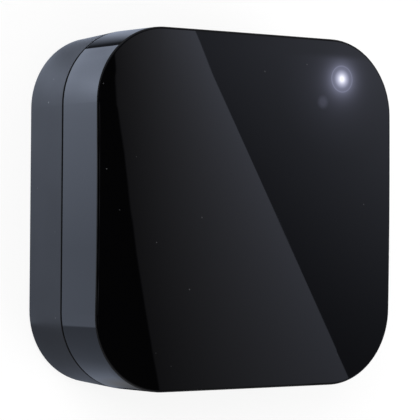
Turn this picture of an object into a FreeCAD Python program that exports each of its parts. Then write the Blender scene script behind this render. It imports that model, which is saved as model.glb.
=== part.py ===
import FreeCAD, Part
import math
import os

# Smart infrared controller: a flat square puck that lies on four rubber feet, glossy face up.
# +Z is the face's outward direction, +X and +Y run along the sides of the square, and the
# origin is on the surface it stands on, under the middle of the case. Sizes are millimetres.

V = FreeCAD.Vector

# Case
case_width = 62.0
corner_radius = 13.4
wall = 1.6
rear_height = 12.1
front_height = 11.6
rear_draft = 0.40
front_draft = 0.22
face_crown = 0.5
face_thickness = 1.6
floor_thickness = 1.8
face_edge_round = 0.4
bottom_edge_round = 0.3

# Split line between the two shells
split_gap = 0.36
front_rim_round = 0.18
rear_rim_round = 0.1
lip_height = 1.3
lip_thickness = 0.7
lip_clearance = 0.1

# Screws, posts and feet
screw_inset_x = 8.0
screw_inset_y = 14.0
screw_diameter = 2.0
screw_length = 10.0
screw_head_diameter = 3.6
screw_head_height = 1.3
screw_head_round = 0.4
screw_tip_chamfer = 0.4
screw_recess_depth = 1.0
screw_recess_width = 0.5
screw_recess_length = 2.0
thread_clearance = 0.02
shank_clearance = 0.2
head_clearance = 0.2
head_seat_rise = 2.4
post_diameter = 5.0
shoulder_diameter = 7.0
boss_depth = 8.0
rib_thickness = 1.0
foot_diameter = 8.0
foot_thickness = 1.2
foot_stand = 0.5
foot_clearance = 0.1
foot_edge_round = 0.2

# Rating label, blank
label_length = 30.0
label_width = 20.0
label_thickness = 0.12
label_recess = 0.2
label_clearance = 0.15
label_corner = 1.5

# Circuit board
board_rise = 2.5
board_thickness = 1.6
board_clearance = 0.5
board_hole_clearance = 0.2

# Infrared emitters: 5 mm lamps on long legs
emitter_diameter = 5.0
emitter_flange_diameter = 5.8
emitter_flange_thickness = 1.0
emitter_length = 8.6
emitter_axis_rise = 4.04
emitter_wall_gap = 1.5
emitter_spread = 7.5
lead_diameter = 0.5
lead_pitch = 2.54
lead_reach = 1.5
lead_bend = 0.7
lead_bite = 0.6
lead_hole_diameter = 0.9
lead_tail = 1.0
solder_diameter = 1.7
solder_tip_diameter = 0.8
solder_height = 0.7

# Infrared receiver
receiver_inboard = 8.2
receiver_y = 9.0
receiver_length = 6.0
receiver_width = 5.2
receiver_height = 3.4
receiver_lens_radius = 2.0
receiver_lens_rise = 1.6
receiver_edge_chamfer = 0.4
receiver_lead_pitch = 1.9
receiver_lead_height = 1.7
receiver_lead_reach = 1.2

# Status lamp and its light pipe
status_inset_x = 11.14
status_inset_y = 7.3
status_lamp_length = 3.2
status_lamp_width = 2.8
status_lamp_height = 1.9
status_cup_diameter = 2.3
status_cup_floor_diameter = 1.6
status_cup_depth = 0.8
pipe_diameter = 5.0
pipe_lamp_gap = 0.3
pipe_clearance = 0.05
window_thickness = 0.8
collar_wall = 0.9
collar_depth = 3.0

# USB socket, micro B size
socket_width = 7.5
socket_low_width = 5.4
socket_height = 2.5
socket_depth = 5.6
socket_metal = 0.25
socket_shoulder_height = 1.1
socket_inset = 0.4
tongue_width = 3.7
tongue_thickness = 0.6
tongue_length = 3.6
tongue_rise = 1.45
contact_width = 0.35
contact_thickness = 0.12
contact_pitch = 0.65
contact_count = 5
contact_setback = 0.3
port_clearance = 0.45
port_corner = 1.0

# Reset button and its switch
button_x = 12.0
button_diameter = 3.0
button_clearance = 0.05
button_proud = 0.06
button_dish = 0.25
button_land = 0.4
button_edge_round = 0.2
button_travel = 0.3
button_notch_clearance = 0.3
button_flange_diameter = 4.6
button_flange_thickness = 0.8
button_flange_gap = 0.25
switch_width = 6.0
switch_depth = 3.6
switch_height = 3.6
switch_gap = 0.7
stem_diameter = 1.6
stem_clearance = 0.05
stem_engagement = 1.4
stem_play = 0.5
dome_diameter = 2.8
dome_thickness = 0.1

# Wireless module
module_length = 16.0
module_width = 11.8
module_thickness = 0.8
module_lead_gap = 0.8
module_edge_gap = 1.0
shield_length = 10.2
shield_width = 10.6
shield_height = 2.2
shield_metal = 0.2
shield_edge_round = 0.4
shield_edge_gap = 0.8
antenna_trace = 0.6
antenna_thickness = 0.05
antenna_bars = 6
antenna_pitch = 2.0
antenna_length = 4.0
antenna_margin = 0.5

# Power parts and chips
input_capacitor = {"x": -11.0, "edge": 7.7, "diameter": 6.3, "height": 7.7}
output_capacitor = {"x": -7.0, "edge": 16.2, "diameter": 5.0, "height": 5.8}
capacitor_base_height = 0.6
capacitor_base_margin = 0.3
capacitor_top_round = 0.3
regulator_x = 9.5
regulator_edge = 13.2
regulator_length = 6.5
regulator_width = 3.5
regulator_height = 1.6
regulator_lead_reach = 1.75
regulator_lead_width = 0.7
regulator_lead_pitch = 2.3
regulator_lead_height = 0.5
regulator_tab_width = 3.0
fuse_x = -7.2
fuse_edge = 2.1
fuse_size = (3.2, 1.6, 0.9)
transistor_places = [(6.5, -7.0), (-6.5, -4.6)]
transistor_length = 2.9
transistor_width = 1.3
transistor_height = 1.0
transistor_lead_reach = 0.55
transistor_lead_width = 0.4
transistor_lead_height = 0.3
transistor_lead_pitch = 1.9
chip_capacitor_size = (2.0, 1.25, 0.9)
chip_capacitor_gap = 1.8
resistor_size = (1.25, 2.0, 0.5)
resistor_offset = 2.6

# Heights and half sizes that follow from the driving dimensions
case_half = case_width / 2
corner_centre = case_half - corner_radius
bottom_z = foot_stand
split_z = bottom_z + rear_height
face_rim_z = split_z + front_height
face_top_z = face_rim_z + face_crown
crown_radius = (case_half ** 2 + face_crown ** 2) / (2 * face_crown)
crown_centre_z = face_top_z - crown_radius
floor_z = bottom_z + floor_thickness
rear_rim_z = split_z - split_gap / 2
front_rim_z = split_z + split_gap / 2
board_height = floor_z + board_rise
board_top_z = board_height + board_thickness
head_seat_height = bottom_z + head_seat_rise
emitter_axis_height = split_z + emitter_axis_rise
cut_margin = 1.0
over_height = face_top_z + cut_margin
flat_tolerance = 0.01


def case_half_at(z):
    """Half width of the outside of the case at height z."""
    if z < split_z:
        return case_half - rear_draft * (split_z - z) / rear_height
    return case_half - front_draft * (z - split_z) / front_height


def rounded_square(half, z):
    """Outline at height z whose corner arcs keep their centres at every size."""
    radius = half - corner_centre
    slant = radius * math.sqrt(0.5)
    edges = []
    for quarter in range(4):
        turn = FreeCAD.Rotation(V(0, 0, 1), 90 * quarter)
        start = turn.multVec(V(half, -corner_centre, z))
        side_end = turn.multVec(V(half, corner_centre, z))
        middle = turn.multVec(V(corner_centre + slant, corner_centre + slant, z))
        arc_end = turn.multVec(V(corner_centre, half, z))
        edges.append(Part.makeLine(start, side_end))
        edges.append(Part.Arc(side_end, middle, arc_end).toShape())
    return Part.Wire(edges)


def tapered_block(low_half, low_z, high_half, high_z):
    """Solid between two rounded squares."""
    outlines = [rounded_square(low_half, low_z), rounded_square(high_half, high_z)]
    return Part.makeLoft(outlines, True, True)


def case_block(low_z, high_z, inset=0.0):
    """Solid that follows the case's outside, moved inward by inset, in one shell's height."""
    if low_z + high_z < 2 * split_z:
        rate = rear_draft / rear_height
    else:
        rate = -front_draft / front_height
    low_half = case_half + rate * (low_z - split_z) - inset
    high_half = case_half + rate * (high_z - split_z) - inset
    return tapered_block(low_half, low_z, high_half, high_z)


def cylinder(diameter, low_z, high_z, x=0.0, y=0.0):
    return Part.makeCylinder(diameter / 2, high_z - low_z, V(x, y, low_z))


def side_cylinder(diameter, x, z, outer_y, inner_y):
    """Cylinder along Y, from outer_y to inner_y."""
    return Part.makeCylinder(diameter / 2, inner_y - outer_y, V(x, outer_y, z), V(0, 1, 0))


def centred_box(length, width, height, x=0.0, y=0.0, z=0.0):
    """Box centred on x and y that stands on z."""
    return Part.makeBox(length, width, height, V(x - length / 2, y - width / 2, z))


def rounded_plate(length, width, height, corner, z):
    plate = centred_box(length, width, height, 0, 0, z)
    return plate.makeFillet(corner, edges_along(plate, V(0, 0, 1)))


def crown_ball(radius):
    """Ball whose top is the crowned face; its poles lie to the sides, away from the face."""
    ball = Part.makeSphere(radius)
    ball.rotate(V(0, 0, 0), V(1, 0, 0), 90)
    ball.translate(V(0, 0, crown_centre_z))
    return ball


def face_z_at(x, y):
    """Height of the crowned face over a point."""
    return crown_centre_z + math.sqrt(crown_radius ** 2 - x ** 2 - y ** 2)


def edges_above(shape, z):
    return [edge for edge in shape.Edges if edge.BoundBox.ZMin > z - flat_tolerance]


def edges_below(shape, z):
    return [edge for edge in shape.Edges if edge.BoundBox.ZMax < z + flat_tolerance]


def edges_along(shape, direction):
    """Straight edges that run along a direction."""
    return [edge for edge in shape.Edges
            if abs(edge.tangentAt(edge.FirstParameter).dot(direction)) > 1 - flat_tolerance]


def placed(shape, x, y, heading=0.0):
    """Copy turned about Z by heading degrees, then moved to x and y."""
    copy = shape.copy()
    copy.rotate(V(0, 0, 0), V(0, 0, 1), heading)
    copy.translate(V(x, y, 0))
    return copy


def joined(shapes):
    whole = shapes[0].multiFuse(shapes[1:])
    return whole.removeSplitter()


# Places shared by several pieces
screw_x = case_half - screw_inset_x
screw_y = case_half - screw_inset_y
screw_places = [(sx * screw_x, sy * screw_y) for sx in (-1, 1) for sy in (-1, 1)]
foot_names = ["left_lower", "left_upper", "right_lower", "right_upper"]
status_x = case_half - status_inset_x
status_y = case_half - status_inset_y
board_half = case_half_at(board_height) - wall - board_clearance
foot_recess_z = bottom_z + foot_thickness - foot_stand
window_z = face_z_at(status_x, status_y) - window_thickness
emitter_leg_radius = (case_half_at(emitter_axis_height) - wall - emitter_wall_gap
                      - emitter_length - lead_reach)
top_emitter_z = face_top_z - face_thickness - emitter_wall_gap - emitter_length
emitter_places = [
    (emitter_leg_radius, emitter_spread, 0),
    (emitter_leg_radius, -emitter_spread, 0),
    (-emitter_leg_radius, emitter_spread, 180),
    (-emitter_leg_radius, -emitter_spread, 180),
    (0, emitter_leg_radius, 90),
    (0, -emitter_leg_radius, 270),
]
socket_z = board_top_z + socket_height / 2
socket_front_y = -(case_half_at(socket_z) - socket_inset)
button_z = board_top_z + switch_height / 2
button_end_y = -(case_half_at(button_z) + button_proud)
button_flange_y = -(case_half_at(button_z) - wall - button_flange_gap)
stem_tip_y = button_flange_y + button_flange_thickness
switch_front_y = stem_tip_y + switch_gap
module_x = module_width / 2 + module_lead_gap + lead_diameter / 2 - emitter_leg_radius
module_y = board_half - module_edge_gap - module_length / 2
receiver_x = emitter_leg_radius - receiver_inboard
chip_capacitor_places = [
    (receiver_x, receiver_y + receiver_width / 2 + chip_capacitor_gap),
    (module_x, module_y - module_length / 2 - chip_capacitor_gap),
]


def lead_path_solid(points, bend):
    """Round wire along straight runs with one rounded corner."""
    start, corner, end = points
    into = (corner - start).normalize()
    out = (end - corner).normalize()
    arc_start = corner - into * bend
    arc_end = corner + out * bend
    arc_middle = corner + (out - into).normalize() * (bend * (math.sqrt(2) - 1))
    path = Part.Wire([
        Part.makeLine(start, arc_start),
        Part.Arc(arc_start, arc_middle, arc_end).toShape(),
        Part.makeLine(arc_end, end),
    ])
    profile = Part.Wire([Part.makeCircle(lead_diameter / 2, start, into)])
    return path.makePipeShell([profile], True, False)


def solder_joint(x, y):
    """Cone of solder under the board round a lead."""
    return Part.makeCone(solder_diameter / 2, solder_tip_diameter / 2, solder_height,
                         V(x, y, board_height), V(0, 0, -1))


def lamp_body():
    """5 mm lamp standing on its flange, tip up."""
    radius = emitter_diameter / 2
    flange = Part.makeCylinder(emitter_flange_diameter / 2, emitter_flange_thickness)
    barrel = Part.makeCylinder(radius, emitter_length - radius)
    tip = Part.makeSphere(radius, V(0, 0, emitter_length - radius))
    return flange.fuse([barrel, tip])


def side_emitter():
    """Emitter whose legs rise from the board and turn it to face +X."""
    body = lamp_body()
    body.rotate(V(0, 0, 0), V(0, 1, 0), 90)
    body.translate(V(lead_reach, 0, emitter_axis_height))
    pieces = [body]
    for side in (-1, 1):
        y = side * lead_pitch / 2
        points = [V(lead_reach + lead_bite, y, emitter_axis_height),
                  V(0, y, emitter_axis_height),
                  V(0, y, board_height - lead_tail)]
        pieces.append(lead_path_solid(points, lead_bend))
        pieces.append(solder_joint(0, y))
    return joined(pieces)


def top_emitter():
    """Emitter that stands upright and faces the crowned face."""
    body = lamp_body()
    body.translate(V(0, 0, top_emitter_z))
    pieces = [body]
    for side in (-1, 1):
        x = side * lead_pitch / 2
        pieces.append(cylinder(lead_diameter, board_height - lead_tail,
                               top_emitter_z + lead_bite, x, 0))
        pieces.append(solder_joint(x, 0))
    return joined(pieces)


def emitter_lead_places():
    places = []
    for x, y, heading in emitter_places:
        for side in (-1, 1):
            offset = FreeCAD.Rotation(V(0, 0, 1), heading).multVec(V(0, side * lead_pitch / 2, 0))
            places.append((x + offset.x, y + offset.y))
    for side in (-1, 1):
        places.append((side * lead_pitch / 2, 0))
    return places


def receiver_lead_places():
    lead_y = receiver_y - receiver_width / 2 - receiver_lead_reach
    return [(receiver_x + step * receiver_lead_pitch, lead_y) for step in (-1, 0, 1)]


def front_shell():
    outside = case_block(front_rim_z, over_height).common(crown_ball(crown_radius))
    outside = outside.makeFillet(face_edge_round, edges_above(outside, face_rim_z - face_crown))
    outside = outside.makeFillet(front_rim_round, edges_below(outside, front_rim_z))

    hollow = case_block(front_rim_z - cut_margin, over_height, wall)
    hollow = hollow.common(crown_ball(crown_radius - face_thickness))
    shell = outside.cut(hollow)

    rebate_inset = wall - lip_thickness - lip_clearance
    rebate_top = split_z + lip_height + lip_clearance
    shell = shell.cut(case_block(front_rim_z - cut_margin, rebate_top, rebate_inset))

    ceiling_z = face_rim_z - face_thickness
    additions = []
    for x, y in screw_places:
        additions.append(cylinder(shoulder_diameter, board_top_z, ceiling_z, x, y))
        reach = case_half_at(ceiling_z) - wall / 2 - abs(x)
        middle_x = math.copysign(abs(x) + reach / 2, x)
        rib = centred_box(reach, rib_thickness, ceiling_z - rebate_top, middle_x, y, rebate_top)
        additions.append(rib)
    collar_diameter = pipe_diameter + 2 * (pipe_clearance + collar_wall)
    additions.append(cylinder(collar_diameter, window_z - collar_depth, window_z,
                              status_x, status_y))
    shell = joined([shell] + additions)

    pilot = screw_diameter + 2 * thread_clearance
    holes = [cylinder(pilot, board_top_z - cut_margin, board_top_z + boss_depth, x, y)
             for x, y in screw_places]
    pipe_hole = pipe_diameter + 2 * pipe_clearance
    holes.append(cylinder(pipe_hole, window_z - collar_depth - cut_margin, window_z,
                          status_x, status_y))
    return shell.cut(holes)


def rear_shell():
    outside = case_block(bottom_z, rear_rim_z)
    outside = outside.makeFillet(bottom_edge_round, edges_below(outside, bottom_z))
    outside = outside.makeFillet(rear_rim_round, edges_above(outside, rear_rim_z))
    lip_half = case_half_at(rear_rim_z) - wall + lip_thickness
    lip_top_half = case_half_at(split_z + lip_height) - wall + lip_thickness
    lip_low_z = rear_rim_z - lip_height
    lip = tapered_block(lip_half, lip_low_z, lip_top_half, split_z + lip_height)
    inside_low = case_half_at(floor_z) - wall
    inside_high = case_half_at(rear_rim_z) - wall
    hollow = tapered_block(inside_low, floor_z, inside_high, rear_rim_z)
    lip_hollow = tapered_block(inside_high, rear_rim_z, inside_high,
                               split_z + lip_height + cut_margin)
    shell = joined([outside, lip]).cut([hollow, lip_hollow])

    posts = []
    for x, y in screw_places:
        posts.append(cylinder(shoulder_diameter, foot_recess_z, board_height, x, y))
        posts.append(cylinder(post_diameter, foot_recess_z, board_top_z, x, y))
    shell = joined([shell] + posts)

    cuts = []
    for x, y in screw_places:
        cuts.append(cylinder(foot_diameter + 2 * foot_clearance, bottom_z - cut_margin,
                             foot_recess_z, x, y))
        cuts.append(cylinder(screw_head_diameter + 2 * head_clearance, bottom_z,
                             head_seat_height, x, y))
        cuts.append(cylinder(screw_diameter + 2 * shank_clearance, bottom_z,
                             board_top_z + cut_margin, x, y))
    cuts.append(rounded_plate(label_length + 2 * label_clearance, label_width + 2 * label_clearance,
                              label_recess + cut_margin, label_corner, bottom_z - cut_margin))
    cuts.append(port_cut())
    cuts.append(side_cylinder(button_diameter + 2 * button_clearance, button_x, button_z,
                              -case_half - cut_margin, button_flange_y))
    return shell.cut(cuts)


def port_cut():
    """Rounded opening through the lower side wall for the USB plug."""
    width = socket_width + 2 * port_clearance
    height = socket_height + 2 * port_clearance
    block = Part.makeBox(width, wall + 2 * cut_margin, height,
                         V(-width / 2, -case_half - cut_margin, socket_z - height / 2))
    return block.makeFillet(port_corner, edges_along(block, V(0, 1, 0)))


def circuit_board():
    board = Part.Face(rounded_square(board_half, board_height)).extrude(V(0, 0, board_thickness))
    low_z = board_height - cut_margin
    high_z = board_top_z + cut_margin
    holes = []
    for x, y in screw_places:
        holes.append(cylinder(post_diameter + 2 * board_hole_clearance, low_z, high_z, x, y))
    for x, y in emitter_lead_places() + receiver_lead_places():
        holes.append(cylinder(lead_hole_diameter, low_z, high_z, x, y))
    notch_width = button_flange_diameter + 2 * button_notch_clearance
    notch_end_y = stem_tip_y + button_travel + button_notch_clearance
    notch_start_y = -board_half - cut_margin
    holes.append(Part.makeBox(notch_width, notch_end_y - notch_start_y, high_z - low_z,
                              V(button_x - notch_width / 2, notch_start_y, low_z)))
    return board.cut(holes)


def case_screw(x, y):
    """Pan head screw driven upward from below."""
    head_low = head_seat_height - screw_head_height
    head = cylinder(screw_head_diameter, head_low, head_seat_height, x, y)
    head = head.makeFillet(screw_head_round, edges_below(head, head_low))
    screw_top = head_seat_height + screw_length
    shank = cylinder(screw_diameter, head_low + screw_recess_depth, screw_top, x, y)
    shank = shank.makeChamfer(screw_tip_chamfer, edges_above(shank, screw_top))
    slots = [
        centred_box(screw_recess_length, screw_recess_width, screw_recess_depth, x, y, head_low),
        centred_box(screw_recess_width, screw_recess_length, screw_recess_depth, x, y, head_low),
    ]
    return joined([head, shank]).cut(slots)


def rubber_foot(x, y):
    foot = cylinder(foot_diameter, 0.0, foot_thickness, x, y)
    return foot.makeFillet(foot_edge_round, edges_below(foot, 0.0))


def rating_label():
    low_z = bottom_z + label_recess - label_thickness
    return rounded_plate(label_length, label_width, label_thickness, label_corner, low_z)


def light_pipe():
    low_z = board_top_z + status_lamp_height + pipe_lamp_gap
    return cylinder(pipe_diameter, low_z, window_z, status_x, status_y)


def status_lamp():
    body = centred_box(status_lamp_length, status_lamp_width, status_lamp_height,
                       status_x, status_y, board_top_z)
    cup_floor_z = board_top_z + status_lamp_height - status_cup_depth
    cup = Part.makeCone(status_cup_floor_diameter / 2, status_cup_diameter / 2, status_cup_depth,
                        V(status_x, status_y, cup_floor_z))
    return body.cut(cup)


def infrared_receiver():
    body = centred_box(receiver_length, receiver_width, receiver_height,
                       receiver_x, receiver_y, board_top_z)
    body = body.makeChamfer(receiver_edge_chamfer,
                            edges_above(body, board_top_z + receiver_height))
    lens_z = board_top_z + receiver_height + receiver_lens_rise - receiver_lens_radius
    lens = Part.makeSphere(receiver_lens_radius, V(receiver_x, receiver_y, lens_z))
    pieces = [body, lens]
    lead_z = board_top_z + receiver_lead_height
    for x, y in receiver_lead_places():
        points = [V(x, y + receiver_lead_reach + lead_bite, lead_z),
                  V(x, y, lead_z),
                  V(x, y, board_height - lead_tail)]
        pieces.append(lead_path_solid(points, lead_bend))
        pieces.append(solder_joint(x, y))
    return joined(pieces)


def socket_outline(inset, y):
    """Flat-bottomed mouth of the socket with its two slanted lower corners."""
    top = board_top_z + socket_height - inset
    bottom = board_top_z + inset
    shoulder = board_top_z + socket_shoulder_height
    wide = socket_width / 2 - inset
    narrow = socket_low_width / 2 - inset
    points = [V(-wide, y, top), V(wide, y, top), V(wide, y, shoulder),
              V(narrow, y, bottom), V(-narrow, y, bottom), V(-wide, y, shoulder)]
    return Part.makePolygon(points + [points[0]])


def usb_socket():
    outer = Part.Face(socket_outline(0.0, socket_front_y)).extrude(V(0, socket_depth, 0))
    inner = Part.Face(socket_outline(socket_metal, socket_front_y - cut_margin))
    inner = inner.extrude(V(0, socket_depth + cut_margin - socket_metal, 0))
    return outer.cut(inner)


def tongue_box():
    back_y = socket_front_y + socket_depth - socket_metal
    low_z = board_top_z + tongue_rise
    return Part.makeBox(tongue_width, tongue_length, tongue_thickness,
                        V(-tongue_width / 2, back_y - tongue_length, low_z))


def usb_contacts():
    """Row of flat contacts under the tongue."""
    back_y = socket_front_y + socket_depth - socket_metal
    top_z = board_top_z + tongue_rise
    contacts = []
    for index in range(contact_count):
        x = (index - (contact_count - 1) / 2) * contact_pitch
        contacts.append(Part.makeBox(contact_width, tongue_length - contact_setback,
                                     contact_thickness,
                                     V(x - contact_width / 2,
                                       back_y - tongue_length + contact_setback,
                                       top_z - contact_thickness)))
    return Part.makeCompound(contacts)


def reset_button():
    shaft = side_cylinder(button_diameter, button_x, button_z, button_end_y,
                          button_flange_y + button_flange_thickness)
    end_edges = [edge for edge in shaft.Edges if edge.BoundBox.YMax < button_end_y + flat_tolerance]
    shaft = shaft.makeFillet(button_edge_round, end_edges)
    flange = side_cylinder(button_flange_diameter, button_x, button_z, button_flange_y,
                           button_flange_y + button_flange_thickness)
    flat_radius = button_diameter / 2 - button_land
    dish_radius = (flat_radius ** 2 + button_dish ** 2) / (2 * button_dish)
    dish = Part.makeSphere(dish_radius, V(button_x, button_end_y + button_dish - dish_radius, button_z))
    return joined([shaft, flange]).cut(dish)


def switch_body():
    middle_y = switch_front_y + switch_depth / 2
    body = centred_box(switch_width, switch_depth, switch_height, button_x, middle_y, board_top_z)
    stem_end_y = switch_front_y + stem_engagement
    pocket = side_cylinder(stem_diameter + 2 * stem_clearance, button_x, button_z,
                           switch_front_y - cut_margin, stem_end_y)
    chamber = side_cylinder(dome_diameter + 2 * stem_clearance, button_x, button_z,
                            stem_end_y, stem_end_y + stem_play + dome_thickness)
    return body.cut([pocket, chamber])


def switch_stem():
    return side_cylinder(stem_diameter, button_x, button_z, stem_tip_y,
                         switch_front_y + stem_engagement)


def switch_dome():
    seat_y = switch_front_y + stem_engagement + stem_play
    return side_cylinder(dome_diameter, button_x, button_z, seat_y, seat_y + dome_thickness)


def module_board():
    return centred_box(module_width, module_length, module_thickness,
                       module_x, module_y, board_top_z)


def module_shield():
    """Pressed metal can over the module's chips, open underneath."""
    low_z = board_top_z + module_thickness
    middle_y = module_y - module_length / 2 + shield_edge_gap + shield_length / 2
    can = centred_box(shield_width, shield_length, shield_height, module_x, middle_y, low_z)
    upper_edges = edges_above(can, low_z + shield_height) + edges_along(can, V(0, 0, 1))
    can = can.makeFillet(shield_edge_round, upper_edges)
    inside = centred_box(shield_width - 2 * shield_metal, shield_length - 2 * shield_metal,
                         shield_height - shield_metal, module_x, middle_y, low_z)
    return can.cut(inside)


def module_antenna():
    """Meander of copper at the free end of the module."""
    low_z = board_top_z + module_thickness
    top_y = module_y + module_length / 2 - antenna_margin
    pieces = []
    first_x = module_x - antenna_pitch * (antenna_bars - 1) / 2
    for index in range(antenna_bars):
        x = first_x + index * antenna_pitch
        pieces.append(centred_box(antenna_trace, antenna_length, antenna_thickness,
                                  x, top_y - antenna_length / 2, low_z))
    for index in range(antenna_bars - 1):
        x = first_x + (index + 0.5) * antenna_pitch
        if index % 2 == 0:
            y = top_y - antenna_trace / 2
        else:
            y = top_y - antenna_length + antenna_trace / 2
        pieces.append(centred_box(antenna_pitch + antenna_trace, antenna_trace, antenna_thickness,
                                  x, y, low_z))
    return joined(pieces)


def can_capacitor(sizes):
    y = sizes["edge"] - board_half
    base_side = sizes["diameter"] + capacitor_base_margin
    base = centred_box(base_side, base_side, capacitor_base_height, sizes["x"], y, board_top_z)
    top = board_top_z + sizes["height"]
    can = cylinder(sizes["diameter"], board_top_z, top, sizes["x"], y)
    can = can.makeFillet(capacitor_top_round, edges_above(can, top))
    return joined([base, can])


def voltage_regulator():
    y = regulator_edge - board_half
    pieces = [centred_box(regulator_length, regulator_width, regulator_height,
                          regulator_x, y, board_top_z)]
    for step in (-1, 0, 1):
        lead_y = y - (regulator_width + regulator_lead_reach) / 2
        pieces.append(centred_box(regulator_lead_width, regulator_lead_reach,
                                  regulator_lead_height, regulator_x + step * regulator_lead_pitch,
                                  lead_y, board_top_z))
    tab_y = y + (regulator_width + regulator_lead_reach) / 2
    pieces.append(centred_box(regulator_tab_width, regulator_lead_reach, regulator_lead_height,
                              regulator_x, tab_y, board_top_z))
    return joined(pieces)


def driver_transistor(x, y):
    """Small three-legged transistor."""
    pieces = [centred_box(transistor_length, transistor_width, transistor_height, x, y, board_top_z)]
    reach = (transistor_width + transistor_lead_reach) / 2
    half_pitch = transistor_lead_pitch / 2
    for lead_x, lead_y in ((-half_pitch, -reach), (half_pitch, -reach), (0.0, reach)):
        pieces.append(centred_box(transistor_lead_width, transistor_lead_reach,
                                  transistor_lead_height, x + lead_x, y + lead_y, board_top_z))
    return joined(pieces)


def chip(size, x, y):
    return centred_box(size[0], size[1], size[2], x, y, board_top_z)


def emitter_resistors():
    """One resistor inboard of each emitter's legs."""
    template = chip(resistor_size, -resistor_offset, 0)
    shapes = [placed(template, x, y, heading) for x, y, heading in emitter_places]
    shapes.append(placed(template, 0, 0, 90))
    return shapes


def save(name, shape):
    """Write one piece, after checking that it is made of closed solids."""
    if not shape.isValid() or not shape.Solids:
        raise ValueError(name + " is not a valid solid")
    if len(shape.Solids) == 1:
        shape = shape.Solids[0]
    shape.exportStep("parts/" + name + ".step")
    print(name, len(shape.Solids), round(shape.Volume, 2))


os.makedirs("parts", exist_ok=True)

save("front_shell", front_shell())
save("rear_shell", rear_shell())
save("circuit_board", circuit_board())
save("case_screws", Part.makeCompound([case_screw(x, y) for x, y in screw_places]))
for name, (x, y) in zip(foot_names, screw_places):
    save("rubber_foot_" + name, rubber_foot(x, y))
save("rating_label", rating_label())
save("light_pipe", light_pipe())
save("status_lamp", status_lamp())
for number, (x, y, heading) in enumerate(emitter_places, 1):
    save("infrared_emitter_" + str(number), placed(side_emitter(), x, y, heading))
save("infrared_emitter_top", top_emitter())
save("infrared_receiver", infrared_receiver())
save("usb_socket_shell", usb_socket())
save("usb_socket_tongue", tongue_box())
save("usb_socket_contacts", usb_contacts())
save("reset_button", reset_button())
save("reset_switch_body", switch_body())
save("reset_switch_stem", switch_stem())
save("reset_switch_dome", switch_dome())
save("wireless_module_board", module_board())
save("wireless_module_shield", module_shield())
save("wireless_module_antenna", module_antenna())
save("input_capacitor", can_capacitor(input_capacitor))
save("output_capacitor", can_capacitor(output_capacitor))
save("voltage_regulator", voltage_regulator())
save("input_fuse", chip(fuse_size, fuse_x, fuse_edge - board_half))
for number, (x, y) in enumerate(transistor_places, 1):
    save("driver_transistor_" + str(number), driver_transistor(x, y))
for number, (x, y) in enumerate(chip_capacitor_places, 1):
    save("chip_capacitor_" + str(number), chip(chip_capacitor_size, x, y))
for number, shape in enumerate(emitter_resistors(), 1):
    save("emitter_resistor_" + str(number), shape)
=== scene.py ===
import math
import bpy
from mathutils import Matrix, Vector


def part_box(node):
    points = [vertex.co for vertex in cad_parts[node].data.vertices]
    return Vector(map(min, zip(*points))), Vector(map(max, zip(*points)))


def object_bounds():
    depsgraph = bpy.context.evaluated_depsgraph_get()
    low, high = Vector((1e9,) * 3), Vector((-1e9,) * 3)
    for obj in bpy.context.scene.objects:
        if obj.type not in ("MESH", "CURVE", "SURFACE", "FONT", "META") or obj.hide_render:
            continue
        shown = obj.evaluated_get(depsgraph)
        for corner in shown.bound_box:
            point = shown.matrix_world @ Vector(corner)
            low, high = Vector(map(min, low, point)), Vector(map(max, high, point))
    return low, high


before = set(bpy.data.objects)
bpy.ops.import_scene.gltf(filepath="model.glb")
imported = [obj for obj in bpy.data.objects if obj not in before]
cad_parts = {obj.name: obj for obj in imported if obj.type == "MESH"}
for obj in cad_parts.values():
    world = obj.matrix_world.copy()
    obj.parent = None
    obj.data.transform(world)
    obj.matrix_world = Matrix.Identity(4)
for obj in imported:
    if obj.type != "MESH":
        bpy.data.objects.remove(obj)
cad_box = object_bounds()

# Smart infrared controller: a flat square puck with a glossy crowned face, a glossy front band
# and a satin rear band. Sizes here are in millimetres and turned into metres with MM.
MM = 0.001

# Places read from the frame
face_top = cad_box[1].z / MM
pipe_low, pipe_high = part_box("light_pipe")
pipe_x = (pipe_low.x + pipe_high.x) / 2 / MM
pipe_y = (pipe_low.y + pipe_high.y) / 2 / MM
pipe_radius = (pipe_high.x - pipe_low.x) / 2 / MM

# Small parts on the board: where their legs, pads and bodies lie
tin = (0.66, 0.66, 0.66)
thread_pitch = 0.7
screw_head_height = 1.3
emitter_length = 8.6
solder_radius = 0.85
lead_pitch = 2.54
receiver_width, receiver_lead_pitch = 5.2, 1.9
cup_radius, cup_depth = 1.15, 0.82
lamp_pad_length, lamp_pad_height = 0.35, 0.5
can_base_height = 0.6
stripe_start, stripe_end = 0.42, 0.86
guide_ring_pitch = 0.25
track_pitch, track_width = 1.27, 0.25
via_pitch, via_pad, via_hole, via_share = 2.54, 0.4, 0.18, 0.22
leg_pad = 0.95
edge_pad_pitch, edge_pad_share = 1.5, 0.6
board_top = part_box("circuit_board")[1].z / MM
side_low, side_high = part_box("infrared_emitter_1")
lens_back = side_high.x / MM - emitter_length
lens_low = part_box("infrared_emitter_top")[1].z / MM - emitter_length
receiver_low, receiver_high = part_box("infrared_receiver")
receiver_back = receiver_high.y / MM - receiver_width
module_low, module_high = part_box("wireless_module_board")
module_x = (module_low.x + module_high.x) / 2 / MM
module_half = (module_high.x - module_low.x) / 2 / MM
leg_reach = side_low.x / MM + solder_radius
leg_middle = (side_low.y + side_high.y) / 2 / MM
receiver_x = (receiver_low.x + receiver_high.x) / 2 / MM
receiver_leg_y = receiver_low.y / MM + solder_radius

# x and y of each leg's hole. The last value says that it comes again in all four quarters.
lead_places = [(leg_reach, leg_middle - lead_pitch / 2, True),
               (leg_reach, leg_middle + lead_pitch / 2, True),
               (lead_pitch / 2, leg_reach, True), (lead_pitch / 2, 0.0, True)]
lead_places += [(receiver_x + step * receiver_lead_pitch, receiver_leg_y, False)
                for step in (-1, 0, 1)]

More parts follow.
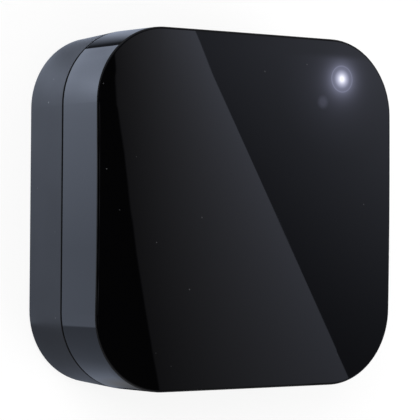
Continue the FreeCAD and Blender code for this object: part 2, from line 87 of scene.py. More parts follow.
# Camera: turned by these angles from looking straight down on the face
camera_turn = math.radians(33.655)
camera_pitch = math.radians(-0.588)
camera_roll = math.radians(-0.453)
camera_offset = (7.144, -0.114)
camera_distance = 339.32
aim_height = 24.2
sensor_width = 36.0
lens_length = 168.05

# Floor and room. The camera sees the floor as paper that glows by floor_lift.
floor_side = 6000.0
floor_paper = 0.2
floor_lift = 0.82
floor_bounce = 0.7
# Painted reflection on the floor, seen only in gloss: its bluish tint, and its brightness under the
# case
painted_reflection_tint = (0.88, 1.0, 1.27)
under_case = 0.8
pure_white = (1.0, 1.0, 1.0)
room_tint = (0.95, 1.0, 1.1)
ambient_light = 0.55
ceiling_white = 0.25
horizon_white = 0.6
horizon_top = 0.26
horizon_full = 0.06

# Floor beside the left wall that its gloss mirrors, painted with light and shade: everything within
# band_reach of a line along the wall. Beyond it the mirrored floor is painted dark, so the face's
# rounded edge reads dark, but beside the wall's middle the painted light fades out over bulge_reach.
# The rear band mirrors what is nearer than seam_reach. From a corner's centre the case reaches to
# case_edge.
corner_centre = 17.6
case_edge, case_edge_end = 11.8, 12.6
band_x, band_half, band_reach = -22.0, 18.5, 26.6
bulge_reach, bulge_half = 190.0, 17.0
seam_reach = 16.25

# Straight lines on that floor: where each crosses zero, and its lean
slot_edge = (-34.35, 0.25)
slot_shade_line = (-16.2, 0.45)
lower_edge = (-8.8, 0.371)
silhouette_edge = (-40.7, -0.418)

# Status light, painted as glow on the cover as the cover's refraction shows it from the photograph's
# side: a core in a halo, a haze round a point aside of it, a painted bright rim and a painted darker
# pane inside the pipe's edge, and a faint round spot beside the light, a painted reflection of it.
# Only the cover's top glow_depth shows them.
glow_shift = (-0.33, 0.06)
glow_white, glow_blue, white_radius = (1.0, 1.0, 1.05), (1.0, 1.04, 1.5), 1.1
core_radius, core_strength = 0.8, 0.48
halo_radius, halo_strength = 1.1, 0.85
haze_shift, haze_radius, haze_strength = -1.2, 4.0, 0.028
rim_inset, rim_width, rim_strength = 0.17, 0.1, 0.06
pane_inset, pane_width, pane_strength = 0.75, 0.28, 0.036
spot_x, spot_y, spot_strength = -4.35, -4.3, 0.025
spot_inner, spot_outer = 0.4, 1.5
glow_cut = 0.001
glow_depth = 1.2

# Reflection card over the face: black, then a gradient from a border up to a straight diagonal,
# then a darker one. Each line is x at y = 0, its lean and its bow.
card_height = 400.0
card_side = 3000.0
border_tint = (1.0, 1.0, 1.1)
card_tint = (0.94, 1.0, 1.24)
border_x, border_lean, border_bow = 180.0, -0.1636, 0.00072
diagonal_x, diagonal_lean, diagonal_bow = 281.0, -0.6455, 0.00049


class Signal:
    """A value that a node tree works out. Arithmetic on it adds math nodes."""

    def __init__(self, tree, socket):
        self.tree = tree
        self.socket = socket

    def math(self, operation, *others):
        inputs = {0: self}
        for index, other in enumerate(others, 1):
            inputs[index] = other
        return self.tree.add("Math", inputs, operation=operation)

    def __add__(self, other):
        return self.math("ADD", other)

    def __sub__(self, other):
        return self.math("SUBTRACT", other)

    def __rsub__(self, other):
        return (self * -1.0) + other

    def __mul__(self, other):
        return self.math("MULTIPLY", other)

    def __truediv__(self, other):
        return self.math("DIVIDE", other)

    __radd__ = __add__
    __rmul__ = __mul__

    def squared(self):
        return self * self

    def absolute(self):
        return self.math("ABSOLUTE")

    def root(self):
        return self.math("SQRT")

    def fading(self, length):
        """1 at zero, and falls by the factor e over each length."""
        return (self * (-1 / length)).math("EXPONENT")

    def bell(self, width):
        """1 at zero, and falls off over width to both sides."""
        return (self.squared() * (-1 / width ** 2)).math("EXPONENT")

    def above(self, limit):
        return self.math("GREATER_THAN", limit)

    def least(self, other):
        return self.math("MINIMUM", other)

    def most(self, other):
        return self.math("MAXIMUM", other)

    def ramp(self, low, high, at_low=0.0, at_high=1.0, smooth=False):
        """Runs from at_low to at_high while the value goes from low to high."""
        return self.tree.add("MapRange",
                             {"Value": self, "From Min": low, "From Max": high,
                              "To Min": at_low, "To Max": at_high},
                             interpolation_type="SMOOTHSTEP" if smooth else "LINEAR")


class Tree:
    """Node tree under construction. Signals, numbers and tuples all serve as inputs."""

    def __init__(self, node_tree):
        self.nodes = node_tree.nodes
        self.links = node_tree.links
        self.nodes.clear()

    def add(self, kind, inputs=None, output=0, **settings):
        node = self.nodes.new("ShaderNode" + kind)
        for name, value in settings.items():
            setattr(node, name, value)
        for name, value in (inputs or {}).items():
            self.feed(node.inputs[name], value)
        return Signal(self, node.outputs[output])

    def feed(self, socket, value):
        if isinstance(value, Signal):
            self.links.new(value.socket, socket)
        elif socket.type == "RGBA" and len(value) == 3:
            socket.default_value = (*value, 1.0)
        else:
            socket.default_value = value

    def place(self):
        """Place in millimetres, fixed to the piece."""
        where = self.add("TexCoord", output="Object")
        return self.add("VectorMath", {0: where, 3: 1 / MM}, operation="SCALE")

    def axes(self, names):
        """The place along each of the named axes."""
        where = self.place()
        return [self.add("SeparateXYZ", {0: where}, output=name) for name in names]

    def noise(self, size, detail=2.0, roughness=0.5, stretch=(1.0, 1.0, 1.0)):
        """Noise whose lumps are about size millimetres across."""
        stretched = self.add("VectorMath", {0: self.place(), 1: stretch}, operation="DIVIDE")
        return self.add("TexNoise", {"Vector": stretched, "Scale": 1 / size,
                                     "Detail": detail, "Roughness": roughness},
                        noise_dimensions="4D")

    def specks(self, spacing, radius, share):
        """1 inside small dots that lie spacing millimetres apart, in this share of the cells."""
        cell = {"Vector": self.place(), "Scale": 1 / spacing}
        distance = self.add("TexVoronoi", cell, output="Distance")
        colour = self.add("TexVoronoi", cell, output="Color")
        chosen = self.add("SeparateColor", {0: colour}).above(1 - share)
        return distance.ramp(0.0, radius / spacing, 1.0, 0.0) * chosen


def colour_mix(tree, share, first, second):
    """Colour that goes from first to second as share goes from 0 to 1."""
    node = tree.nodes.new("ShaderNodeMix")
    node.data_type = "RGBA"
    tree.feed(node.inputs[0], share)
    tree.feed(node.inputs[6], first)
    tree.feed(node.inputs[7], second)
    return Signal(tree, node.outputs[2])


class Finish(Tree):
    """Material with one principled shader."""

    def __init__(self, name, **constants):
        self.material = bpy.data.materials.new(name)
        self.material.use_nodes = True
        super().__init__(self.material.node_tree)
        self.shader = self.nodes.new("ShaderNodeBsdfPrincipled")
        output = self.nodes.new("ShaderNodeOutputMaterial")
        self.links.new(self.shader.outputs[0], output.inputs[0])
        for name, value in constants.items():
            self.feed(self.shader.inputs[name.replace("_", " ")], value)

    def set(self, name, value):
        self.feed(self.shader.inputs[name], value)

    def bump(self, height, depth):
        """Lets height, from 0 to 1, raise the surface by up to depth millimetres."""
        normal = self.add("Bump", {"Strength": 1.0, "Distance": depth * MM, "Height": height},
                          output="Normal")
        self.set("Normal", normal)


def from_place(x, y, place):
    """Distance from a place, seen from above."""
    return ((x - place[0]).squared() + (y - place[1]).squared()).root()


def past_line(along, across, line):
    """How far along is past a straight line that crosses zero at line[0] and leans by line[1]."""
    return along - across * line[1] - line[0]


def tinted(tree, colour, strength):
    """Emission of one tint whose strength varies."""
    return tree.add("Emission", {"Color": colour, "Strength": strength})


def joined_shaders(tree, share, first, second):
    """Shader that goes from first to second as share goes from 0 to 1."""
    return tree.add("MixShader", {0: share, 1: first, 2: second})


def send_out(tree, kind, shader):
    """Makes the shader the whole material or world."""
    output = tree.nodes.new("ShaderNodeOutput" + kind)
    tree.links.new(shader.socket, output.inputs[0])


# Camera
def make_camera():
    """Looks at the face from the photograph's side."""
    turn = (Matrix.Rotation(camera_roll, 3, "Z") @ Matrix.Rotation(camera_pitch, 3, "X")
            @ Matrix.Rotation(camera_turn, 3, "Y")).transposed()
    data = bpy.data.cameras.new("camera")
    data.sensor_width = sensor_width
    data.lens = lens_length
    data.clip_start = 10 * MM
    data.clip_end = 10000 * MM
    camera = bpy.data.objects.new("camera", data)
    bpy.context.scene.collection.objects.link(camera)
    offset = Vector((-camera_offset[0], -camera_offset[1], camera_distance))
    place = Vector((0, 0, aim_height)) + turn @ offset
    camera.matrix_world = Matrix.Translation(place * MM) @ turn.to_4x4()
    bpy.context.scene.camera = camera


# Room
def make_plane(name, side, height):
    """Level square sheet that belongs to the studio."""
    half = side / 2 * MM
    mesh = bpy.data.meshes.new(name)
    corners = [(-half, -half, height * MM), (half, -half, height * MM),
               (half, half, height * MM), (-half, half, height * MM)]
    mesh.from_pydata(corners, [], [(0, 1, 2, 3)])
    plane = bpy.data.objects.new(name, mesh)
    bpy.context.scene.collection.objects.link(plane)
    return plane


def footprint(tree):
    """1 under the case, 0 outside it."""
    x, y = tree.axes("XY")
    past_x = (x.absolute() - corner_centre).most(0.0)
    past_y = (y.absolute() - corner_centre).most(0.0)
    return (past_x.squared() + past_y.squared()).root().ramp(case_edge, case_edge_end, 1.0, 0.0)


def front_reflection(tree, reach):
    """Painted light and shade on the floor that the front band mirrors: a painted gradient as of
    paper lit from +Y, a painted dark slot past a straight edge near that corner, darker painted
    paper in front, and a painted dark line along the front's silhouette. Each ramp goes by
    millimetres along x, y or a line, from one share of brightness to the next."""
    x, y = tree.axes("XY")
    slow_rise = y.ramp(-7.0, 17.0, 0.8, 1.2)
    fast_rise = y.ramp(16.0, 27.0, 0.0, 0.72, smooth=True)
    corner_shade = 1.0 - y.ramp(26.0, 30.0) * x.ramp(-31.0, -26.5, 0.0, 0.18)
    fall = y.ramp(28.5, 39.0, 1.0, 0.56) * corner_shade * y.ramp(-42.0, -40.5, 0.75, 1.0)
    outward = 1.0 + y.ramp(18.0, 26.0) * reach.ramp(19.0, 25.0, -0.1, 0.13)
    lower = past_line(y, x, lower_edge).ramp(-0.4, 0.4, 0.42, 1.0)
    front_glow = x.ramp(-31.0, -23.0, 1.0, 1.38) * x.ramp(-20.5, -11.0, 1.0, 0.3)
    in_front = y.ramp(-34.0, -30.0, 1.0, 0.0)
    paper = (slow_rise + fast_rise) * fall * outward * lower * (1.0 + in_front * (front_glow - 1.0))
    silhouette = past_line(y, x, silhouette_edge).ramp(-0.6, 0.4) * y.ramp(-30.5, -30.0, 1.0, 0.0)
    paper = paper * (1.0 - silhouette * x.ramp(-14.0, -10.5, 0.0, 0.93))
    along = past_line(x, y, slot_shade_line)
    slot = (along.ramp(-24.5, -20.1, 0.04, 0.385) + along.ramp(-20.1, -17.0, 0.0, 0.15)
            - along.ramp(-14.5, -6.5, 0.0, 0.24))
    past_edge = past_line(x, y, slot_edge).ramp(-0.2, 0.2) * y.above(0.0)
    return paper * (1.0 - past_edge) + slot * past_edge


def rear_reflection(tree, reach):
    """Painted light and shade on the floor close to the case, that the rear band mirrors."""
    x, y = tree.axes("XY")
    paper = y.ramp(-7.0, 17.0, 0.76, 1.05) + y.ramp(17.0, 26.0, 0.0, 0.68)
    corner = x.ramp(-25.0, -22.0, 1.0, 0.0) * y.ramp(23.5, 30.0)
    shade = 1.0 - corner * reach.ramp(9.0, 17.3, 0.5, 0.08)
    return paper * y.ramp(27.0, 31.5, 1.0, 0.45) * x.ramp(-22.0, -18.0, 1.0, 2.25) * shade


def make_floor():
    """White floor with the object's shadow. Its gloss side is painted light and shade round the
    case, which the bands show as reflections.
    """
    floor = make_plane("floor", floor_side, 0.0)
    material = bpy.data.materials.new("floor_paper")
    material.use_nodes = True
    tree = Tree(material.node_tree)
    seen = tree.add("LightPath", output="Is Camera Ray")
    glossy = tree.add("LightPath", output="Is Glossy Ray")
    below = tree.add("NewGeometry", output="Backfacing")
    lift = tree.add("Emission", {"Strength": floor_lift})
    paper = tree.add("BsdfDiffuse", {"Color": (floor_paper,) * 3})
    camera_side = tree.add("AddShader", {0: lift, 1: paper})
    # What gloss sees of the floor is painted light and shade: the painted patterns beside the walls,
    # under_case under the case, darkness beyond them that lightens further out, and a bluish tint
    # near the case.
    x, y = tree.axes("XY")
    past_middle = (y.absolute() - band_half).most(0.0)
    reach = from_place(x, past_middle, (band_x, 0.0))
    bulge = (1.0 - (y / bulge_half).squared()).most(0.0) * x.ramp(-40.0, -31.0, bulge_reach, 0.0)
    past = reach - band_reach
    near = past.ramp(-0.3, bulge + 0.9, 1.0, 0.0)
    past_seam = reach - seam_reach - x.ramp(-27.0, -23.0, 0.0, 0.3)
    rear = past_seam.ramp(-0.15, 0.15, 1.0, 0.0) * y.above(-20.0)
    under = footprint(tree)
    outside = past.ramp(0.0, 400.0, 0.08, 0.85) * x.ramp(20.0, 45.0, 1.0, 0.6)
    beside = front_reflection(tree, reach) * (1.0 - rear) + rear_reflection(tree, reach) * rear
    strength = near * beside + (1.0 - near) * outside
    strength = strength * (1.0 - under) + under * under_case
    pale = y.ramp(-38.0, -34.0, 1.0, 0.0) * x.ramp(-21.0, -16.0, 0.0, 0.6)
    blue = near * (1.0 - under) * (1.0 - pale)
    mirrored = tinted(tree, colour_mix(tree, blue, pure_white, painted_reflection_tint), strength)
    bounce = tree.add("Emission", {"Strength": floor_bounce})
    other = joined_shaders(tree, glossy, bounce, mirrored)
    above = joined_shaders(tree, seen, other, camera_side)
    clear = tree.add("BsdfTransparent")
    send_out(tree, "Material", joined_shaders(tree, below, above, clear))
    floor.data.materials.append(material)


def make_card():
    """Overhead card that only gloss sees. Its pattern is the studio's, laid out in millimetres."""
    card = make_plane("reflection_card", card_side, card_height)
    card.visible_camera = False
    card.visible_diffuse = False
    card.visible_shadow = False
    card.visible_transmission = False
    card.visible_volume_scatter = False
    material = bpy.data.materials.new("reflection_card")
    material.use_nodes = True
    tree = Tree(material.node_tree)
    x, y = tree.axes("XY")
    border = (border_x + y * border_lean + y.squared() * border_bow
              + y.ramp(-100.0, -45.0, 1.8, 0.0))
    diagonal = diagonal_x + y * diagonal_lean + y.squared() * diagonal_bow
    past_border = x - border
    past_diagonal = x - diagonal
    across = past_border / (diagonal - border)
    # Brightness between the two lines and right of the diagonal, from the card's low end to its top
    top_share = y.ramp(-90.0, 90.0)
    rise = across * (1.0 - top_share * (1.0 - across) * 0.3)
    middle = 0.09 + top_share * 0.05 + rise * (0.43 + top_share * 0.37)
    right = (0.08 + top_share * 0.12 + top_share.squared() * 0.09
             + past_diagonal * (0.0005 + top_share * 0.0028))
    lit = past_border.ramp(-0.6, 0.6)
    beyond = past_diagonal.ramp(-0.15, 0.15)
    window = y.absolute().ramp(125.0, 160.0, 1.0, 0.0) * x.ramp(430.0, 480.0, 1.0, 0.0)
    away = from_place(x, y, (0.0, 0.0))
    beside = y.absolute().ramp(200.0, 420.0, 0.0, 0.16, smooth=True)
    far = away.ramp(900.0, 1500.0, 0.0, 0.3, smooth=True)
    overhead = away.ramp(15.0, 95.0, 0.34, 0.0, smooth=True)
    strength = (lit * window * (middle * (1.0 - beyond) + right * beyond)
                + beside.most(far) + overhead)
    tint = colour_mix(tree, across.most(0.0).least(1.0), border_tint, card_tint)
    light = tinted(tree, tint, strength.most(0.0).least(1.0))
    send_out(tree, "Material", light)
    card.data.materials.append(material)


def make_world():
    """White to the camera, soft light on the object, and a pale horizon in gloss."""
    world = bpy.data.worlds.new("studio")
    bpy.context.scene.world = world
    world.use_nodes = True
    tree = Tree(world.node_tree)
    seen = tree.add("LightPath", output="Is Camera Ray")
    glossy = tree.add("LightPath", output="Is Glossy Ray")
    through = tree.add("LightPath", output="Is Transmission Ray")
    direction = tree.add("TexCoord", output="Generated")
    side, up = [tree.add("SeparateXYZ", {0: direction}, output=axis) for axis in "XZ"]
    sky = up.ramp(horizon_full, horizon_top, horizon_white, ceiling_white, smooth=True)
    sky = sky * side.ramp(0.4, 0.95, 1.0, 0.3) * side.ramp(-0.7, -0.25, 0.3, 1.0)
    room = tree.add("Background", {"Color": room_tint, "Strength": sky})
    backdrop = tree.add("Background", {"Color": pure_white, "Strength": 1.0})
    ambient = tree.add("Background", {"Color": pure_white, "Strength": ambient_light})
    lit = joined_shaders(tree, glossy.most(through), ambient, room)
    send_out(tree, "World", joined_shaders(tree, seen, lit, backdrop))


def make_lamp(name, place, aim, side, power):
    """Soft square lamp that gloss doesn't see."""
    data = bpy.data.lights.new(name, "AREA")
    data.shape = "SQUARE"
    data.size = side * MM
    data.energy = power
    lamp = bpy.data.objects.new(name, data)
    bpy.context.scene.collection.objects.link(lamp)
    lamp.location = Vector(place) * MM
    lamp.rotation_mode = "QUATERNION"
    lamp.rotation_quaternion = (Vector(aim) - Vector(place)).to_track_quat("-Z", "Y")
    lamp.visible_glossy = False


# Finishes
def gloss_black():
    """Polished near-black cover, with the status light's glow painted on it as emission: a white
    point in a ring.
    """
    finish = Finish("gloss_black", IOR=1.5)
    x, y, z = finish.axes("XYZ")
    dust = finish.specks(spacing=3.2, radius=0.15, share=0.35)
    cloud = finish.noise(14.0, detail=3.0)
    finish.set("Base Color", colour_mix(finish, dust, (0.0011, 0.0011, 0.0013),
                                        (0.08, 0.08, 0.085)))
    finish.set("Roughness", cloud.ramp(0.35, 0.75, 0.008, 0.018) + dust * 0.3)
    finish.bump(finish.noise(2.2, detail=1.0), 0.00006)

    # Painted glow of the status light: the cover emits it, with a painted rim, a painted darker pane
    # and a faint spot that is a painted reflection of the light.
    glow_x = pipe_x + glow_shift[0]
    glow_y = pipe_y + glow_shift[1]
    radius = from_place(x, y, (glow_x, glow_y))
    core = radius.bell(core_radius) * core_strength
    haze_away = from_place(x, y, (glow_x + haze_shift, glow_y + haze_shift))
    haze = haze_away.fading(haze_radius) * haze_strength
    halo = radius.fading(halo_radius) * halo_strength + haze
    halo = halo * (y - glow_y).ramp(3.2, 4.7, 1.0, 0.2, smooth=True)
    rim = (radius - pipe_radius + rim_inset).bell(rim_width) * rim_strength
    pane = (radius - pipe_radius + pane_inset).bell(pane_width) * pane_strength
    spot_away = from_place(x, y, (glow_x + spot_x, glow_y + spot_y))
    painted_spot_reflection = spot_away.ramp(spot_inner, spot_outer, spot_strength, 0.0, smooth=True)
    on_face = z.above(face_top - glow_depth)
    painted_glow = (core + halo + rim - pane + painted_spot_reflection - glow_cut).most(0.0) * on_face
    whiteness = radius.bell(white_radius)
    finish.set("Emission Color", colour_mix(finish, whiteness, glow_blue, glow_white))
    finish.set("Emission Strength", painted_glow)
    return finish.material


def satin_black():
    """Rear half: fine spark-eroded texture, with a little dust."""
    finish = Finish("satin_black", IOR=1.4)
    grain = finish.noise(0.16, detail=3.0, roughness=0.6)
    cloud = finish.noise(9.0, detail=2.0)
    dust = finish.specks(spacing=3.0, radius=0.22, share=0.25)
    plastic = colour_mix(finish, cloud, (0.0075, 0.0078, 0.0088), (0.0095, 0.0097, 0.011))
    finish.set("Base Color", colour_mix(finish, dust, plastic, (0.4, 0.4, 0.41)))
    finish.set("Roughness", cloud.ramp(0.3, 0.7, 0.4, 0.45) + grain * 0.05)
    finish.bump(grain, 0.002)
    return finish.material


def rubber():
    """Matt black foot rubber with a rough grain and a little dust."""
    finish = Finish("foot_rubber", IOR=1.5)
    grain = finish.noise(0.25, detail=4.0, roughness=0.65)
    dust = finish.specks(spacing=0.9, radius=0.08, share=0.3)
    finish.set("Base Color", colour_mix(finish, dust * 0.5 + grain * 0.2, (0.012, 0.012, 0.013),
                                        (0.07, 0.068, 0.064)))
    finish.set("Roughness", grain.ramp(0.3, 0.7, 0.62, 0.85))
    finish.bump(grain, 0.02)
    return finish.material


def label_film():
    """Blank silver film with a fine rolled grain."""
    finish = Finish("label_silver", IOR=1.45, Metallic=0.75)
    grain = finish.noise(0.12, detail=3.0, stretch=(6.0, 1.0, 1.0))
    cloud = finish.noise(6.0)
    finish.set("Base Color", colour_mix(finish, cloud, (0.52, 0.53, 0.54), (0.6, 0.6, 0.61)))
    finish.set("Roughness", grain.ramp(0.3, 0.7, 0.36, 0.5))
    finish.bump(grain, 0.0015)
    return finish.material


def sheet_metal(name, colour, dull, brushed=(1.0, 1.0, 1.0)):
    """Bare or plated metal with a rolled or turned grain and faint staining."""
    finish = Finish(name, Metallic=1.0)
    grain = finish.noise(0.15, detail=3.0, stretch=brushed)
    cloud = finish.noise(1.6, detail=3.0)
    stained = tuple(part * 0.88 for part in colour)
    finish.set("Base Color", colour_mix(finish, cloud.ramp(0.35, 0.7), colour, stained))
    finish.set("Roughness", grain.ramp(0.3, 0.7, dull - 0.06, dull + 0.08) + cloud * 0.05)
    finish.bump(grain, 0.0012)
    return finish.material


def machine_screws():
    """Black zinc-plated steel with a thread above the head."""
    finish = Finish("screw_steel", Metallic=1.0)
    z = finish.axes("Z")[0]
    grain = finish.noise(0.15, detail=3.0)
    cloud = finish.noise(1.6, detail=3.0)
    turn = (z * (2 * math.pi / thread_pitch)).math("SINE")
    thread = z.above(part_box("case_screws")[0].z / MM + screw_head_height)
    groove = turn.ramp(-1.0, 1.0) * thread
    finish.set("Base Color", colour_mix(finish, cloud.ramp(0.35, 0.7), (0.3, 0.3, 0.31),
                                        (0.22, 0.21, 0.2)))
    finish.set("Roughness", grain.ramp(0.3, 0.7, 0.24, 0.38) + groove * 0.1)
    finish.bump(groove * 0.96 + grain * 0.04, 0.12)
    return finish.material


def beyond_middle(tree, legs):
    """1 on the metal legs or end caps of small parts. legs gives for each node the axis that they
    lie along and the length of its body between them."""
    x, y = tree.axes("XY")
    total = None
    for name, (axis, length) in legs.items():
        low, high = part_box(name)
        middle = (low + high) / 2 / MM
        half = (high - low) / 2 / MM
        past_x = (x - middle.x).absolute()
        past_y = (y - middle.y).absolute()
        inside = (half.x + 0.05 - past_x).above(0.0) * (half.y + 0.05 - past_y).above(0.0)
        ends = (past_x if axis == "x" else past_y).above(length / 2) * inside
        total = ends if total is None else total.most(ends)
    return total


def moulded(name, colour, dull, legs=None):
    """Moulded plastic or ceramic with a fine grain, and tinned legs or end caps."""
    finish = Finish(name, IOR=1.5)
    grain = finish.noise(0.2, detail=3.0, roughness=0.6)
    cloud = finish.noise(1.2, detail=2.0)
    paler = tuple(part * 1.25 + 0.002 for part in colour)
    body = colour_mix(finish, cloud.ramp(0.3, 0.7), colour, paler)
    dullness = grain.ramp(0.3, 0.7, dull - 0.06, dull + 0.06)
    if legs:
        metal = beyond_middle(finish, legs)
        body = colour_mix(finish, metal, body, tin)
        dullness = dullness + metal * (cloud.ramp(0.3, 0.7, 0.2, 0.34) - dullness)
        finish.set("Metallic", metal)
    finish.set("Base Color", body)
    finish.set("Roughness", dullness)
    finish.bump(grain, 0.003)
    return finish.material


def lamp_epoxy(name, colour, clear, dull, metal_low, out_low=0.0, out_high=0.0, back_y=None):
    """Cast epoxy with its steel legs and solder: everything under metal_low, between out_low and
    out_high from the middle, or behind back_y."""
    finish = Finish(name, IOR=1.55)
    x, y, z = finish.axes("XYZ")
    metal = (metal_low - z).above(0.0)
    if out_high:
        out = x.absolute().most(y.absolute())
        metal = metal.most(out.above(out_low) * (out_high - out).above(0.0))
    if back_y:
        metal = metal.most((back_y - y).above(0.0))
    cloud = finish.noise(1.4, detail=2.0)
    grain = finish.noise(0.3, detail=2.0)
    epoxy = colour_mix(finish, cloud.ramp(0.3, 0.7), colour, tuple(part * 0.8 for part in colour))
    finish.set("Base Color", colour_mix(finish, metal, epoxy, tin))
    finish.set("Metallic", metal)
    finish.set("Transmission Weight", (1.0 - metal) * clear)
    finish.set("Roughness", grain.ramp(0.3, 0.7, dull, dull + 0.05) + metal * cloud * 0.3)
    finish.bump(cloud * 0.5 + grain * metal * 0.5, 0.004)
    return finish.material


def chance(tree, across, along):
    """Random value from 0 to 1 for each whole pair of numbers."""
    cell = tree.add("CombineXYZ", {0: across, 1: along})
    return tree.add("TexWhiteNoise", {"Vector": cell}, noise_dimensions="2D")


def tracks(tree, across, along, pitch, run, width, share):
    """1 on straight copper tracks that lie pitch apart, each run long, in this share of places."""
    lane = (across / pitch).math("FLOOR")
    stretch = (along / run + lane * 0.37).math("FLOOR")
    aside = ((across / pitch - lane - 0.5) * pitch).absolute()
    chosen = chance(tree, lane, stretch).above(1 - share)
    return aside.ramp(width / 2, width / 2 + 0.03, 1.0, 0.0) * chosen


def board_finish(name, mask, over_copper, leg_places, pad_edge=None):
    """Solder mask over copper tracks, tinned pads, and small holes painted near-black as their
    shade. The cut edges show the laminate.
    pad_edge is the middle of the board and how far from it plated pads start at both sides."""
    finish = Finish(name, IOR=1.5)
    x, y = finish.axes("XY")
    lines = tracks(finish, x, y, track_pitch, 6.0, track_width, 0.45)
    lines = lines.most(tracks(finish, y, x, track_pitch, 7.5, track_width, 0.4))
    pour = finish.noise(9.0, detail=0.0).ramp(0.56, 0.58)
    copper = lines.most(pour)
    cell_x = (x / via_pitch).math("FLOOR")
    cell_y = (y / via_pitch).math("FLOOR")
    from_via = from_place(x / via_pitch - cell_x, y / via_pitch - cell_y, (0.5, 0.5)) * via_pitch
    chosen = chance(finish, cell_x, cell_y).above(1 - via_share)
    pad = (via_pad - from_via).above(0.0) * chosen
    hole = (via_hole - from_via).above(0.0) * chosen
    for place in leg_places:
        fold = [x.absolute(), y.absolute()] if place[2] else [x, y]
        pad = pad.most((leg_pad - from_place(*fold, place)).above(0.0))
    if pad_edge:
        middle, start = pad_edge
        row = (y / edge_pad_pitch - (y / edge_pad_pitch).math("FLOOR") - 0.5).absolute()
        pad = pad.most((x - middle).absolute().above(start) * (edge_pad_share / 2 - row).above(0.0))
    face = finish.add("SeparateXYZ", {0: finish.add("TexCoord", output="Normal")}, output="Z")
    face = face.absolute().above(0.5)
    weave = finish.noise(0.35, detail=2.0, stretch=(1.0, 1.0, 0.3))
    laminate = colour_mix(finish, weave.ramp(0.35, 0.65), (0.3, 0.26, 0.13), (0.5, 0.45, 0.27))
    covered = colour_mix(finish, copper, mask, over_copper)
    covered = colour_mix(finish, finish.noise(4.0).ramp(0.3, 0.7, 0.0, 0.25), covered, over_copper)
    covered = colour_mix(finish, pad, covered, tin)
    # Small holes painted near-black: painted shade standing in for the holes.
    covered = colour_mix(finish, hole, covered, (0.01, 0.01, 0.01))
    metal = pad * (1.0 - hole) * face
    finish.set("Base Color", colour_mix(finish, face, laminate, covered))
    finish.set("Metallic", metal)
    finish.set("Roughness", 0.55 - face * weave.ramp(0.3, 0.7, 0.3, 0.24))
    height = weave * 0.15 + face * (copper.most(pad) * 0.6 - hole * 0.7 + 0.2)
    finish.bump(height, 0.04)
    return finish.material


def lamp_package():
    """White lamp body: yellow phosphor in its cup, tinned pads at both ends."""
    finish = Finish("lamp_white", IOR=1.5)
    x, y, z = finish.axes("XYZ")
    low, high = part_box("status_lamp")
    cup = (cup_radius - from_place(x, y, (pipe_x, pipe_y))).above(0.0)
    cup = cup * z.above(high.z / MM - cup_depth)
    ends = (x - pipe_x).absolute().above((high.x - low.x) / 2 / MM - lamp_pad_length)
    ends = ends * (low.z / MM + lamp_pad_height - z).above(0.0)
    grain = finish.noise(0.15, detail=3.0)
    cloud = finish.noise(1.0)
    body = colour_mix(finish, cloud, (0.72, 0.72, 0.68), (0.8, 0.8, 0.77))
    phosphor = colour_mix(finish, grain, (0.8, 0.62, 0.1), (0.85, 0.72, 0.2))
    body = colour_mix(finish, cup, body, phosphor)
    finish.set("Base Color", colour_mix(finish, ends, body, tin))
    finish.set("Metallic", ends)
    finish.set("Roughness", grain.ramp(0.3, 0.7, 0.34, 0.46) - cup * 0.15)
    finish.bump(grain, 0.003)
    return finish.material


def milky_guide():
    """Cast acrylic rod, slightly milky, with fine turning rings on its side."""
    finish = Finish("light_guide", IOR=1.49, Transmission_Weight=0.75)
    z = finish.axes("Z")[0]
    rings = (z * (2 * math.pi / guide_ring_pitch)).math("SINE").ramp(-1.0, 1.0)
    cloud = finish.noise(1.5, detail=3.0)
    finish.set("Base Color", colour_mix(finish, cloud.ramp(0.3, 0.7), (0.82, 0.84, 0.86),
                                        (0.9, 0.92, 0.94)))
    finish.set("Roughness", cloud.ramp(0.3, 0.7, 0.22, 0.36) + rings * 0.05)
    finish.bump(rings * 0.5 + cloud * 0.5, 0.004)
    return finish.material


def capacitor_can():
    """Aluminium can with a black stripe on its top, on a black moulded base."""
    finish = Finish("can_aluminium", IOR=1.5)
    x, y, z = finish.axes("XYZ")
    grain = finish.noise(0.15, detail=3.0, stretch=(1.0, 1.0, 6.0))
    cloud = finish.noise(1.6, detail=3.0)
    stripe = None
    for name in ("input_capacitor", "output_capacitor"):
        low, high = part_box(name)
        middle = (low + high) / 2 / MM
        radius = (high.x - low.x) / 2 / MM
        away = from_place(x, y, (middle.x, middle.y))
        mark = ((radius * stripe_end - away).above(0.0) * (x - middle.x).above(radius * stripe_start)
                * z.above(high.z / MM - 0.05))
        stripe = mark if stripe is None else stripe.most(mark)
    base = (board_top + can_base_height - z).above(0.0)
    plastic = base.most(stripe)
    metal_colour = colour_mix(finish, cloud.ramp(0.35, 0.7), (0.75, 0.75, 0.77), (0.62, 0.62, 0.64))
    finish.set("Base Color", colour_mix(finish, plastic, metal_colour, (0.014, 0.014, 0.016)))
    finish.set("Metallic", 1.0 - plastic)
    finish.set("Roughness", grain.ramp(0.3, 0.7, 0.22, 0.36) + plastic * 0.15 + cloud * 0.05)
    finish.bump(grain, 0.0015)
    return finish.material


make_camera()
make_world()
make_floor()
make_card()
make_lamp("key_lamp", (-700, 500, 1100), (0, 0, 12), 700, 9.0)
make_lamp("fill_lamp", (800, -600, 900), (0, 0, 12), 900, 5.0)

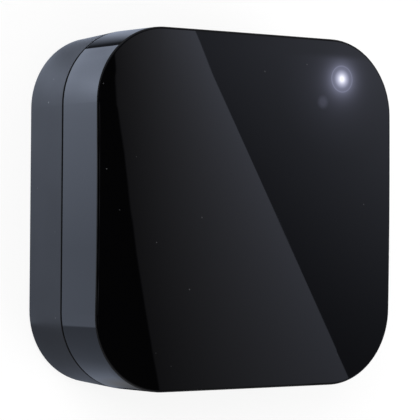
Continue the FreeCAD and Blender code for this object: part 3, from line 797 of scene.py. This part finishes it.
finishes = {
    "gloss_black": gloss_black(),
    "satin_black": satin_black(),
    "foot_rubber": rubber(),
    "label_silver": label_film(),
    "screw_steel": machine_screws(),
    "socket_steel": sheet_metal("socket_steel", (0.66, 0.66, 0.67), 0.24, (1.0, 8.0, 1.0)),
    "dome_steel": sheet_metal("dome_steel", (0.6, 0.6, 0.61), 0.22),
    "contact_gold": sheet_metal("contact_gold", (0.9, 0.66, 0.28), 0.22),
    "can_aluminium": capacitor_can(),
    "socket_black": moulded("socket_black", (0.012, 0.012, 0.013), 0.45),
    "button_black": moulded("button_black", (0.008, 0.008, 0.009), 0.4),
    "switch_black": moulded("switch_black", (0.014, 0.014, 0.015), 0.5, legs={
        "voltage_regulator": ("y", 3.5), "driver_transistor_1": ("y", 1.3),
        "driver_transistor_2": ("y", 1.3)}),
    "receiver_black": lamp_epoxy("receiver_black", (0.006, 0.005, 0.008), 0.0, 0.12,
                                 board_top, back_y=receiver_back),
    "chip_black": moulded("chip_black", (0.016, 0.015, 0.016), 0.5, legs={
        "emitter_resistor_" + str(number): ("y" if number < 5 else "x", 1.3)
        for number in range(1, 8)}),
    "stem_brown": moulded("stem_brown", (0.16, 0.07, 0.035), 0.4),
    "ceramic_tan": moulded("ceramic_tan", (0.42, 0.28, 0.17), 0.5, legs={
        "chip_capacitor_1": ("x", 1.3), "chip_capacitor_2": ("x", 1.3)}),
    "fuse_green": moulded("fuse_green", (0.03, 0.13, 0.05), 0.45, legs={"input_fuse": ("x", 2.3)}),
    "board_green": board_finish("board_green", (0.012, 0.085, 0.035), (0.035, 0.17, 0.065),
                                lead_places),
    "module_blue": board_finish("module_blue", (0.01, 0.03, 0.13), (0.02, 0.07, 0.24), [],
                                pad_edge=(module_x, module_half - 0.8)),
    "lamp_white": lamp_package(),
    "light_guide": milky_guide(),
    "emitter_lens": lamp_epoxy("emitter_lens", (0.72, 0.78, 0.92), 0.85, 0.06, lens_low,
                               out_low=5.0, out_high=lens_back),
}
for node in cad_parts.values():
    for slot in node.material_slots:
        slot.material = finishes[slot.material.name]

bpy.context.scene.view_settings.view_transform = "Standard"
